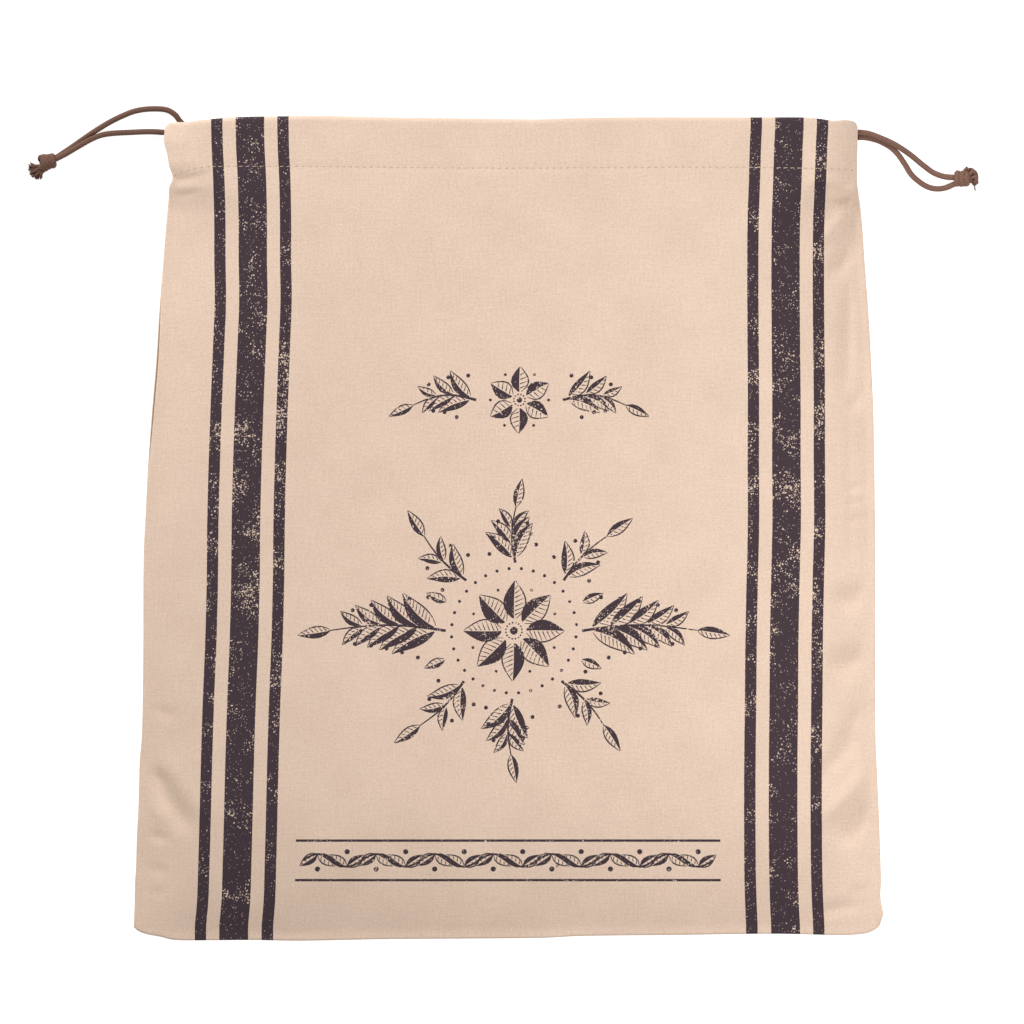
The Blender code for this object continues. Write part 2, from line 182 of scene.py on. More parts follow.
# Sewn edges: radius of the curl, its rows of points in shares of the radius, how much of its distance a
# point keeps at a corner, and where the curl fades out and the seam ends
SEAM_CURL = 0.68
CURL_ROWS = [0.0, 0.05, 0.19, 0.41, 0.69, 1.0, 1.8, 3.2]
CURL_CLEAR = 0.93
CURL_FADES_OVER = 9.0
EDGE_STEP = 2.2
CORNER_STEP = 0.7
SEAM_ENDS_AT = 209.0

# The rest of the flat cloth is filled with points from this corner on, over this size
FILL_FROM = (-200.0, -222.0)
FILL_SIZE = (400.0, 457.0)

# The casing: arc of the turned top, reach of the hem below it, and where it comes back up to the outer layer
TURN_ARC = 6.85
TURN_ROWS = 12
HEM_LENGTH = 25.0
HEM_HALF_WIDTH = 158.0
HEM_LEVEL = 11.0
HEM_MEETS = 22.9
HEM_ENDS_OVER = 10.0
HEM_SPACING = 3.5
CASING_END_TURN = 2.0

# Stitching of the casing: place across, height. The thread draws a shallow trough in the cloth.
STITCH_LINE = [
    (-179, 185.5), (-177, 186.6), (-173.8, 188.5), (-169, 189.9), (-163.8, 190.8), (-157.9, 191.4),
    (-100, 191.4), (0, 190.6), (100, 191.1), (177, 190.1), (186, 189),
]
STITCH_TROUGH = 0.2
STITCH_TROUGH_WIDTH = 1.5
STITCH_PITCH = 3.6
NEEDLE_HOLE = 0.5

# The print's columns, which the threads follow: height, middle of the left and of the right wide stripe
STRIPE_LINES = [
    (-210.6, -146.3, 146.3), (-196.8, -145, 145.5), (-180.9, -144.4, 145), (-154.4, -143.6, 144.7),
    (-122.6, -142.8, 144.7), (-90.8, -141.8, 145), (-59, -140.5, 145.2), (-27.2, -139.7, 145.8),
    (4.6, -139.4, 146.5), (36.4, -138.6, 146.3), (68.2, -137.5, 146.3), (100, -136.2, 146),
    (121.2, -135.4, 145.8), (142.4, -135.7, 145.8), (163.6, -135.7, 146), (184.8, -136.2, 146.8),
    (200.7, -137, 147.3), (212.3, -137.3, 147.9),
]
STRIPE_LEFT = -139.5
STRIPE_RIGHT = 145.9


def ease(t):
    t = min(max(t, 0.0), 1.0)
    return t * t * (3 - 2 * t)


def mix(a, b, t):
    return a + (b - a) * t


def on_curve(table, at, column=1):
    """The value of a column where the first column is at, on a smooth curve through the table's rows."""
    if at <= table[0][0]:
        return table[0][column]
    if at >= table[-1][0]:
        return table[-1][column]
    i = max(k for k in range(len(table) - 1) if table[k][0] <= at)

    def slope(k):
        low = max(k - 1, 0)
        high = min(k + 1, len(table) - 1)
        return (table[high][column] - table[low][column]) / (table[high][0] - table[low][0])

    step = table[i + 1][0] - table[i][0]
    t = (at - table[i][0]) / step
    return (
        (2 * t**3 - 3 * t**2 + 1) * table[i][column]
        + (t**3 - 2 * t**2 + t) * slope(i) * step
        + (3 * t**2 - 2 * t**3) * table[i + 1][column]
        + (t**3 - t**2) * slope(i + 1) * step
    )


def fold_line(x):
    """Height at which the top of the cloth begins to turn over."""
    return mix(on_curve(BOTTOM, x), on_curve(TOP, x), FOLD_UP / LENGTH)


def print_place(x, y):
    """How far across the flat cloth a point lies, where both wide stripes are straight."""
    left = on_curve(STRIPE_LINES, y, 1)
    right = on_curve(STRIPE_LINES, y, 2)
    if x < left:
        return STRIPE_LEFT + x - left
    if x > right:
        return STRIPE_RIGHT + x - right
    return mix(STRIPE_LEFT, STRIPE_RIGHT, (x - left) / (right - left))


def seam_line(turned_ends):
    """Points along the sewn edge: down the left side, along the bottom and up the right side.

    Past the fold line, height is counted along the turned cloth.
    """
    sides = []
    for column, foot in ((1, BOTTOM[0]), (2, BOTTOM[-1])):
        head = fold_line(on_curve(SIDES, SEAM_ENDS_AT, column))
        heights = [mix(foot[1], head, k / 210) for k in range(211)]
        side = [Vector((on_curve(SIDES, y, column), y)) for y in heights]
        side += [side[-1] + Vector((0, turned_ends * k / 4)) for k in range(1, 5) if turned_ends]
        sides.append(side)
    bottom = [mix(BOTTOM[0][0], BOTTOM[-1][0], k / 200) for k in range(1, 200)]
    return sides[0][::-1] + [Vector((x, on_curve(BOTTOM, x))) for x in bottom] + sides[1]


def inward(line, i):
    """Unit vector into the cloth from a point of the sewn edge, whose inside lies to the left."""
    ahead = line[min(i + 1, len(line) - 1)] - line[max(i - 1, 0)]
    return Vector((-ahead.y, ahead.x)).normalized()


def cut_cloth(turned_ends, spacing, ink_shapes=()):
    """Cut the flat cloth to its outline and fill it with triangles.

    Returns its points, the share of the seam's curl that each has left, its triangles, and which are inked.
    """
    line = seam_line(turned_ends)
    line = [p + inward(line, i) * CLOTH / 2 for i, p in enumerate(line)]
    edge = KDTree(len(line))
    for i, p in enumerate(line):
        edge.insert((p.x, p.y, 0), i)
    edge.balance()

    def from_edge(p):
        return edge.find((p.x, p.y, 0))[2]

    def flattened(p, share):
        """The curl fades out towards the casing's open ends."""
        return mix(share, 1.0, ease((p.y - fold_line(p.x)) / CURL_FADES_OVER + 1))

    ends = TURN_ARC + HEM_LENGTH
    half = [(HEM_HALF_WIDTH + 2, turned_ends), (HEM_HALF_WIDTH, turned_ends + 3), (HEM_HALF_WIDTH, ends)]
    corners = [(line[-1].x, turned_ends)] + half + [(-x, a) for x, a in half[::-1]]
    corners.append((line[0].x, turned_ends))
    top = []
    for (x0, a0), (x1, a1) in zip(corners, corners[1:]):
        step = CORNER_STEP if abs(x0) != abs(x1) else EDGE_STEP
        steps = max(1, ceil(max(abs(x1 - x0), abs(a1 - a0)) / step))
        for k in range(1, steps + 1):
            x, a = mix(x0, x1, k / steps), mix(a0, a1, k / steps)
            top.append(Vector((x, fold_line(x) + a)))
    points = line + top[:-1]
    outline = list(range(len(points)))
    curl = [flattened(p, 0.0) for p in line] + [1.0] * (len(top) - 1)

    # Rows that draw the curl along the seam
    for share in CURL_ROWS[1:]:
        distance = share * SEAM_CURL
        for i, p in enumerate(line):
            if i % 2 and share > 1:
                continue
            q = p + inward(line, i) * distance
            if from_edge(q) > CURL_CLEAR * distance:
                points.append(q)
                curl.append(flattened(p, min(share, 1.0)))
    clear = CURL_ROWS[-1] * SEAM_CURL

    # The body, with points as close as its folds need
    for level, (step, wanted) in enumerate(spacing):
        for j in range(int(FILL_SIZE[1] / step)):
            y = FILL_FROM[1] + j * step
            for i in range(int(FILL_SIZE[0] / step) + 1):
                p = Vector((FILL_FROM[0] + (i + 0.5 * (j % 2)) * step, y))
                if p.y > fold_line(p.x) - step / 2 or not wanted(p):
                    continue
                if any(finer(p) for _, finer in spacing[level + 1 :]):
                    continue
                if on_curve(SIDES, p.y, 1) < p.x < on_curve(SIDES, p.y, 2) and p.y > on_curve(BOTTOM, p.x):
                    if from_edge(p) > clear + step * 0.4:
                        points.append(p)
                        curl.append(1.0)

    # The turned top and the hem
    rows = [TURN_ARC * k / TURN_ROWS for k in range(TURN_ROWS + 1)]
    rows += [TURN_ARC + HEM_SPACING * k for k in range(1, int(HEM_LENGTH / HEM_SPACING))]
    for a in rows:
        reach = HEM_HALF_WIDTH - 1 if a > turned_ends - 0.1 else line[-1].x - clear
        steps = int(2 * reach / (EDGE_STEP if a <= TURN_ARC else HEM_SPACING))
        across = [mix(-reach, reach, k / steps) for k in range(steps + 1)]
        if reach > HEM_HALF_WIDTH:
            across += [way * (reach - CORNER_STEP * k) for k in range(1, 14) for way in (-1, 1)]
        for x in across:
            if x > line[0].x + clear:
                points.append(Vector((x, fold_line(x) + a)))
                curl.append(1.0)

    faces = [outline]
    for shape in ink_shapes:
        area = sum(p.x * q.y - q.x * p.y for p, q in zip(shape, shape[1:] + shape[:1]))
        ring = shape if area > 0 else shape[::-1]
        faces.append(list(range(len(points), len(points) + len(ring))))
        points += ring
        curl += [1.0] * len(ring)
    flat, _, triangles, came_from, _, in_faces = delaunay_2d_cdt(points, [], faces, 0, 1e-4)
    curl = [min((curl[k] for k in ids), default=1.0) for ids in came_from]
    kept = [(tuple(t), max(f) > 0) for t, f in zip(triangles, in_faces) if 0 in f]
    return flat, curl, [t for t, _ in kept], [inked for _, inked in kept]


def over_casing(x, along, outer, hem_z, hem_meets, up):
    """Where a point of the flat cloth lies once its top is turned over: y, z, and the turn's angle there."""
    start_y = fold_line(x)
    past = along - start_y
    if past <= 0:
        return along, outer(x, along), 0.0
    start = outer(x, start_y)
    at_hem = ease((HEM_HALF_WIDTH - abs(x)) / HEM_ENDS_OVER + 1)
    drop = mix(-up * CASING_END_TURN, hem_z - start, at_hem)
    if past < TURN_ARC:
        angle = pi * past / TURN_ARC
        reach = on_curve(TOP, x) - CLOTH / 2 - start_y
        return start_y + reach * sin(angle), start + drop * (1 - cos(angle)) / 2, angle
    under = past - TURN_ARC
    y = start_y - under
    meets = outer(x, y) + hem_meets
    return y, mix(start + drop, meets, ease((under - HEM_LEVEL) / (HEM_MEETS - HEM_LEVEL))), pi


def sew_cloth(name, cut, outer, hem_z, hem_meets, up, materials, shift=None):
    """Lay the cut cloth in its folds. up is 1 for the front, whose edges curl down, and -1 for the back."""
    flat, curl, triangles, inked = cut
    places = []
    for p, share in zip(flat, curl):
        y, z, angle = over_casing(p.x, p.y, outer, hem_z, hem_meets, up)
        pulled = up * SEAM_CURL * (1 - (1 - (1 - share) ** 2) ** 0.5)
        x = p.x + (shift(p.x, y) if shift else 0.0)
        places.append(Vector((x, y - pulled * sin(angle), z - pulled * cos(angle))) * MM)
    mesh = bpy.data.meshes.new(name)
    mesh.from_pydata(places, [], triangles)
    mesh.shade_smooth()
    grain = mesh.attributes.new("cloth", "FLOAT_VECTOR", "POINT")
    for row, p in zip(grain.data, flat):
        row.vector = (print_place(p.x, p.y), p.y, 0.0)
    stitched = mesh.attributes.new("stitched", "FLOAT", "POINT")
    stitched.data.foreach_set("value", [p.y - on_curve(STITCH_LINE, p.x) for p in flat])
    ink = mesh.attributes.new("ink", "FLOAT", "FACE")
    ink.data.foreach_set("value", [float(k) for k in inked])
    made = link_object(name, mesh)
    for finish in materials:
        mesh.materials.append(finish)
    thick = made.modifiers.new("Thickness", "SOLIDIFY")
    thick.thickness = CLOTH * MM
    thick.offset = 0.0
    thick.material_offset = len(materials) - 1
    return made


# Natural cotton, plain woven and washed: a soft matt surface of crossing threads, some thicker than others.
# The real thread spacing of 0.55 mm is drawn half as coarse again, so that it shows.
THREAD = 0.8
THREAD_RELIEF = 0.06
# The weave's share of the colour is painted shade where the threads dip under each other
WEAVE_SHADE_SHARE = 0.03
COTTON = "#efd5c0"
COTTON_SHADE = "#d3b8a4"
SHADE_RANGE = (0.32, 0.74)
# Painted shadow in the needle holes: its colour, and how much of it shows at the middle of a hole
HOLE_PAINTED_SHADOW = "#84603f"
HOLE_SHADOW_STRENGTH = 0.85

# How the threads stray from straight: noise features per millimetre, and how far in millimetres
STRAYING = (0.16, 0.9)

# Unevenness: share of the colour, noise features per millimetre across and up
FLECKS = (0.46, 0.85, 0.85)
THICK_WARP = (0.17, 1.1, 0.09)
THICK_WEFT = (0.17, 0.09, 1.1)
MOTTLING = (0.20, 0.035, 0.035)


def cotton(name, colour_step=None):
    """The woven cotton. colour_step may put a print over the plain colour."""
    made, shader = new_finish(name, 0.9)
    tree = made.node_tree
    shader.inputs["Specular IOR Level"].default_value = 0.2
    shader.inputs["Sheen Weight"].default_value = 0.05
    shader.inputs["Sheen Roughness"].default_value = 0.5
    cloth = add(tree, "Attribute", {}, attribute_name="cloth").outputs["Vector"]

    # Thick and thin threads
    uneven = 0.0
    for share, across, up in (FLECKS, THICK_WARP, THICK_WEFT, MOTTLING):
        where = add(tree, "VectorMath", {0: cloth, 1: (across, up, 1.0)}, "MULTIPLY")
        cloud = add(tree, "TexNoise", {"Vector": where, "Scale": 1.0, "Detail": 2.0})
        uneven = add(tree, "Math", {0: cloud, 1: share, 2: uneven}, "MULTIPLY_ADD")

    # Threads over and under each other: they make the bump, and painted shade in the colour where a thread
    # dips under
    wander = add(tree, "TexNoise", {"Vector": cloth, "Scale": STRAYING[0], "Detail": 2.0})
    wander = add(tree, "VectorMath", {0: wander.outputs["Color"], "Scale": STRAYING[1]}, "SCALE")
    threads = add(tree, "VectorMath", {0: cloth, 1: wander}, "ADD")
    threads = add(tree, "VectorMath", {0: threads, "Scale": pi / THREAD}, "SCALE")
    threads = add(tree, "VectorMath", {0: threads}, "SINE")
    split = add(tree, "SeparateXYZ", {0: threads})
    crossing = add(tree, "Math", {0: split.outputs[0], 1: split.outputs[1]}, "MULTIPLY")
    warp = add(tree, "Math", {0: split.outputs[0]}, "ABSOLUTE")
    weft = add(tree, "Math", {0: split.outputs[1]}, "ABSOLUTE")
    warp = add(tree, "Math", {0: warp, 1: crossing}, "ADD")
    weft = add(tree, "Math", {0: weft, 1: crossing}, "SUBTRACT")
    weave = add(tree, "Math", {0: warp, 1: weft}, "MAXIMUM")

    shade = add(tree, "Math", {0: weave, 1: WEAVE_SHADE_SHARE, 2: uneven}, "MULTIPLY_ADD")
    share = add(tree, "MapRange", {"Value": shade, "From Min": SHADE_RANGE[0], "From Max": SHADE_RANGE[1]})
    plain = add(tree, "Mix", {0: share, 6: linear(COTTON_SHADE), 7: linear(COTTON)}, data_type="RGBA")
    colour = colour_step(tree, cloth, plain.outputs[2]) if colour_step else plain.outputs[2]

    # Needle holes along the stitching, as painted shadow: a dark dot mixed into the colour at each hole
    from_line = add(tree, "Attribute", {}, attribute_name="stitched").outputs["Fac"]
    from_line = add(tree, "Math", {0: from_line}, "ABSOLUTE")
    along = add(tree, "SeparateXYZ", {0: cloth})
    along = add(tree, "Math", {0: along, 1: STITCH_PITCH / 2}, "PINGPONG")
    from_hole = add(tree, "Math", {0: from_line, 1: along}, "MAXIMUM")
    reach = {"From Max": NEEDLE_HOLE, "To Min": HOLE_SHADOW_STRENGTH, "To Max": 0.0}
    hole_shadow = add(tree, "MapRange", {"Value": from_hole, **reach})
    colour = add(tree, "Mix", {0: hole_shadow, 6: colour, 7: linear(HOLE_PAINTED_SHADOW)}, data_type="RGBA").outputs[2]
    tree.links.new(colour, shader.inputs["Base Color"])
    relief = add(tree, "Math", {0: uneven, 1: 2.0, 2: weave}, "MULTIPLY_ADD")
    bump = add(tree, "Bump", {"Height": relief, "Strength": 0.3, "Distance": THREAD_RELIEF * MM})
    tree.links.new(bump.outputs[0], shader.inputs["Normal"])
    return made


def back_height(x, y):
    return mix(BACK_Z, BACK_CASING_Z, ease((y - BACK_RISES[0]) / BACK_RISES[1]))


plain_cotton = cotton("plain woven natural cotton, washed")
cut = cut_cloth(0.0, [(BACK_SPACING, lambda p: True)])
back = sew_cloth("back_cloth", cut, back_height, BACK_HEM_Z, CLOTH + 0.1, -1, [plain_cotton])
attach(back, "root")
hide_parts("back_panel")


# The front panel
# The same cotton, screen printed before sewing: three dark stripes down each side and a made-up leaf design
# in the middle. It lies over the back, a little full, with puckers where it is drawn in at its corners. On a
# stretch of the left side the back shows past it.

# Heights of the middle of its thickness, and how far in from each edge its slopes reach
SEAM_Z = 1.8
LOFT_LOW = 12.0
FRONT_HEM_Z = 11.2
FRONT_Z = 15.9
SEAM_LIP = 4.0
SIDE_SLOPE = 62.0
BOTTOM_SLOPE = 76.0
CASING_END_SLOPE = 22.0
CASING_END_RISE = 6.0

# Where the casing's ends rise and the side slopes narrow: from what height, and over how much
CASING_RISES = (166.0, 30.0)
SLOPE_NARROWS = (150.0, 42.0)

# Soft waves of the whole cloth, wide and narrow ones
SWAY = 0.35
RIPPLE = 0.16

# Where the back shows past the left seam: middle, half length, how far
BACK_SHOWS = (78.0, 75.0, 1.2)

# Folds: place across, place up, direction in degrees, half length, half width, height
FOLDS = [
    (-169, 188.3, 13, 14, 1.6, 0.35), (-168.5, 186.2, 13, 13, 1.2, -0.6), (-172.5, 176.9, 7, 8, 1.6, -0.5),
    (-172.5, 180, 8, 8, 2, 0.3), (-188.5, -130, -30, 9, 3.6, -0.7), (-179.5, -144, -57, 18, 5.2, -1.8),
    (-170.5, -139, -57, 18, 5.4, 0.9), (-189, -149, -40, 8, 4, 0.8), (-189.5, -162.7, -12, 9, 2.6, -0.8),
    (-190, -181, -6, 8, 3, -0.7), (-191, -193, -4, 8, 2.6, -0.6), (-186, -97, -12, 9, 3.2, -0.7),
    (173, -122, 48, 16, 5.4, -1.9), (178.9, -140.6, 48, 18, 4.8, 2.5), (185.5, -154.5, 50, 14, 5, -2.4),
    (190, -190.5, 22, 8, 2.8, -1.4), (179, -201, 12, 16, 4, -2), (180.5, -105, 60, 11, 4.4, -1.4),
    (181.5, -70, 16, 12, 6.6, -2.6), (183.5, -36, 22, 10, 6, -2.4), (185.5, 5, 3, 6.5, 1.8, -0.8),
    (185.5, 14, 3, 6.5, 1.6, -0.9), (185.5, 22, 3, 6.5, 1.6, -0.9), (180, 22, 91, 40, 2.2, -0.6),
    (185.5, 68, 40, 7, 4.5, -1.7), (175.5, 182.8, -3, 14, 2.5, 2.6), (176, 176.6, 2, 13, 3.6, -2.2),
    (174.5, 163, 50, 13, 3.6, 2.2), (170.5, 172.5, 46, 8, 3.4, -1.1), (179, 145, 52, 14, 4.8, -2.4),
    (179, 101, 88, 28, 4.2, -1.7), (-168, 205, 80, 8, 2.4, -0.4),
]


def swell(distance, reach):
    t = min(max(distance / reach, 0.0), 1.0)
    return 1 - (1 - t) ** 2


def fold_height(x, y):
    total = 0.0
    for across, up, turned, half_length, half_width, height in FOLDS:
        if abs(x - across) + abs(y - up) > 60:
            continue
        c, s = cos(radians(turned)), sin(radians(turned))
        along = ((x - across) * c + (y - up) * s) / half_length
        beside = (-(x - across) * s + (y - up) * c) / half_width
        total += height * exp(-(along**4) - beside**2)
    return total


def front_height(x, y):
    """Middle of the front cloth's thickness above the table."""
    casing = ease((y - CASING_RISES[0]) / CASING_RISES[1])
    edge = SEAM_Z + CASING_END_RISE * casing
    top = mix(LOFT_LOW, FRONT_Z, ease((y - SIDES[0][0]) / (LENGTH - HEM_LEVEL)))
    left = x - on_curve(SIDES, y, 1)
    right = on_curve(SIDES, y, 2) - x
    reach = mix(SIDE_SLOPE, CASING_END_SLOPE, ease((y - SLOPE_NARROWS[0]) / SLOPE_NARROWS[1]))
    lip = SEAM_LIP * (1 - casing)
    risen = swell(left - lip, reach) * swell(right - lip, reach)
    risen *= swell(y - on_curve(BOTTOM, x) - SEAM_LIP, BOTTOM_SLOPE)
    sway = SWAY * sin(x / 31.0 + 1) * cos(y / 47.0) * (1 - casing)
    sway += RIPPLE * noise.noise(Vector((x / 21.0, y / 34.0, 0.0))) * (1 - 0.6 * casing)
    from_stitches = (y - on_curve(STITCH_LINE, x)) / STITCH_TROUGH_WIDTH
    trough = STITCH_TROUGH * exp(-(from_stitches**2))
    folds = sway * min(1.0, risen * 3) + fold_height(x, y) * min(1.0, risen * 5)
    return edge + (top - edge) * risen + folds - trough * min(1.0, risen * 3 + 0.4)


def front_within(x, y):
    """How far the front's left seam lies inside the back's."""
    middle, half_length, shown = BACK_SHOWS
    return shown * ease(1 - abs(y - middle) / half_length) * (1 - ease((x - on_curve(SIDES, y, 1)) / 20.0))


def close_to_edge(p):
    near_side = min(p.x - on_curve(SIDES, p.y, 1), on_curve(SIDES, p.y, 2) - p.x)
    return near_side < 22 or p.y < -196


def round_folds(p):
    return p.y > 172 or any(abs(p.x - f[0]) < 20 and abs(p.y - f[1]) < 20 for f in FOLDS)


# The design in the middle, in millimetres on the flat cloth: an eight-petalled flower with leafy sprays to
# the four sides and sprigs between them, a smaller flower above, and a leafy border between rules below.
DESIGN_MIDDLE = Vector((3.0, -54.0))
ABOVE_MIDDLE = Vector((4.0, 68.0))
BORDER_MIDDLE = Vector((2.0, -175.5))
RIB = 0.28
HATCH_STEP = 2.3
HATCH_WIDTH = 0.62


def turned(vector, degrees):
    c, s = cos(radians(degrees)), sin(radians(degrees))
    return Vector((vector.x * c - vector.y * s, vector.x * s + vector.y * c))


def disc(middle, radius, sides=12):
    return [middle + turned(Vector((radius, 0)), 360 * k / sides) for k in range(sides)]


def stroke(line, widths):
    """The outline of a stroke along a line of points, as wide at each as given."""
    left, right = [], []
    for i, p in enumerate(line):
        ahead = line[min(i + 1, len(line) - 1)] - line[max(i - 1, 0)]
        side = Vector((-ahead.y, ahead.x)).normalized() * widths[i] / 2
        left.append(p + side)
        right.append(p - side)
    return left + right[::-1]


def leaf(start, end, width, bend=0.0):
    """An engraved leaf: one half dark, the other an edge line and short strokes from the rib."""
    along = end - start
    side = Vector((-along.y, along.x)).normalized()
    length = along.length

    def at(s, across):
        half = width / 2 * sin(pi * s**0.8)
        return start + along * s + side * (bend * 4 * s * (1 - s) + across * half)

    steps = max(5, int(length / 2.5))
    shares = [0.03 + 0.95 * k / steps for k in range(steps + 1)]
    rib_side = min(0.3, 2 * RIB / width)
    rib = [at(s, rib_side) for s in shares]
    dark = rib + [at(s, 1.0) for s in shares[::-1]]
    lit_edge = stroke([at(s, -1.0) for s in shares], [0.3 + 0.5 * sin(pi * s) for s in shares])
    shapes = [dark, lit_edge]
    for k in range(1, int(length / HATCH_STEP)):
        s = k * HATCH_STEP / length
        if 0.1 < s < 0.82:
            rib_end = at(s, -rib_side)
            shapes.append(stroke([rib_end, at(min(s + 0.1, 0.96), -0.9)], [HATCH_WIDTH, HATCH_WIDTH * 0.4]))
    return shapes


def spray(start, end, bend, pairs, longest, shortest, lean=38):
    """A stem with pairs of leaves that get smaller towards its tip, and a leaf at the tip."""
    along = end - start
    side = Vector((-along.y, along.x)).normalized()

    def at(s):
        return start + along * s + side * bend * sin(pi * s)

    line = [at(k / 12) for k in range(13)]
    shapes = [stroke(line, [mix(1.5, 0.6, k / 12) for k in range(13)])]
    for k in range(pairs):
        s = 0.08 + 0.78 * k / pairs
        size = mix(longest, shortest, k / max(1, pairs - 1))
        heading = (at(s + 0.05) - at(s - 0.05)).normalized()
        for way in (-1, 1):
            tip = at(s) + turned(heading, way * lean) * size
            root = at(s) + turned(heading, way * 60) * 0.9
            shapes += leaf(root, tip, size * 0.36, -way * size * 0.07)
        for way in (-1, 1):
            shapes.append(disc(at(s + 0.04) + turned(heading, way * 74) * size * 0.62, 1.1))
    heading = (at(1.0) - at(0.92)).normalized()
    shapes += leaf(at(0.98), at(0.98) + heading * shortest * 1.2, shortest * 0.42)
    return shapes


def flower(middle, petals, inner, outer, width, heart):
    shapes = [disc(middle, heart * 0.5, 14)]
    for k in range(petals):
        way = turned(Vector((0, 1)), 360 * k / petals)
        shapes += leaf(middle + way * inner, middle + way * outer, width)
        between = turned(way, 180 / petals)
        shapes.append(disc(middle + between * outer * 0.86, 0.8))
        for degrees in (90, -90):
            shapes.append(disc(middle + turned(way, degrees / petals) * heart, 0.5, 8))
    return shapes


def leaf_design():
    middle = DESIGN_MIDDLE
    shapes = flower(middle, 8, 6.0, 27.0, 12.0, 4.3)
    for k in range(32):
        shapes.append(disc(middle + turned(Vector((0, 33)), 360 * (k + 0.5) / 32), 0.9, 8))
    for way in (-1, 1):
        out = Vector((way, 0))
        shapes += spray(middle + out * 36, middle + out * 98, way * 3.0, 5, 27.0, 15.0)
        up = Vector((0, way))
        shapes += spray(middle + up * 36, middle + up * 66, way * 2.0, 3, 21.0, 13.0)
        for degrees in (46, 134):
            slant = turned(Vector((way, 0)), degrees)
            shapes += spray(middle + slant * 37, middle + slant * 70, 2.0, 2, 19.0, 14.0)
        for degrees in (23, 157, 203, 337):
            slant = turned(Vector((0, way)), 90 + degrees)
            shapes += leaf(middle + slant * 39, middle + slant * 51, 5.0)
    middle = ABOVE_MIDDLE
    shapes += flower(middle, 6, 4.0, 18.0, 9.5, 3.0)
    for way in (-1, 1):
        start = middle + Vector((way * 23, 0))
        shapes += spray(start, start + Vector((way * 34, -3)), way * 4.0, 3, 19.0, 12.0)
    middle = BORDER_MIDDLE
    half_width, half_height = 111.0, 10.5
    for way in (-1, 1):
        rule = [mix(-half_width, half_width, k / 80) for k in range(81)]
        shapes.append(stroke([middle + Vector((x, way * half_height)) for x in rule], [1.3] * 81))
    waves = 7
    vine = []
    for k in range(waves * 12 + 1):
        x = mix(-half_width + 4, half_width - 4, k / (waves * 12))
        vine.append(middle + Vector((x, 3.4 * sin(2 * pi * k / 12))))
    shapes.append(stroke(vine, [1.1] * len(vine)))
    for k in range(waves * 2):
        crest = vine[k * 6 + 3]
        way = 1 if k % 2 else -1
        for across in (9.5, -9.5):
            shapes += leaf(crest, crest + Vector((across, way * 6.5)), 5.4)
        shapes.append(disc(crest + Vector((0, way * 8.0)), 1.4))
    return shapes


def on_bag(p):
    """A point of the design where it lies on the bag."""
    left = on_curve(STRIPE_LINES, p.y, 1)
    right = on_curve(STRIPE_LINES, p.y, 2)
    return Vector((mix(left, right, (p.x - STRIPE_LEFT) / (STRIPE_RIGHT - STRIPE_LEFT)), p.y))


# Screen-print ink, flat and matt, in a worn print: the cloth shows through as specks, round and long ones,
# close together in some patches and sparse in others.
INK = "#42353b"
WIDE_STRIPE = 15.1
THIN_STRIPE = 6.0
THIN_STRIPE_FROM_MIDDLE = 17.5
SPECKS_SEEN = 0.9
RAGGED_EDGE = 0.36
RAGGED_SPECKS = 0.45

# Sets of specks: turned in degrees, cell across and up in millimetres, radius as a share of the cell, and
# the share of cells with one where the print is whole and where it is worn
SPECKS = [
    (0, 1.9, 1.9, 0.32, 0.04, 0.24),
    (11, 1.2, 1.2, 0.36, 0.07, 0.33),
    (31, 0.8, 0.8, 0.30, 0.12, 0.42),
    (2, 3, 0.9, 0.33, -0.06, 0.18),
    (55, 2.6, 0.9, 0.32, -0.08, 0.17),
    (-38, 2.6, 0.9, 0.32, -0.08, 0.17),
]

# The print is most worn half way up: height, how far from there it is least worn, and how much less.
# WORN_RANGE is the patches' noise from a whole print to a worn one.
MOST_WORN = (30.0, 220.0, 0.09)
WORN_RANGE = (0.43, 0.67)


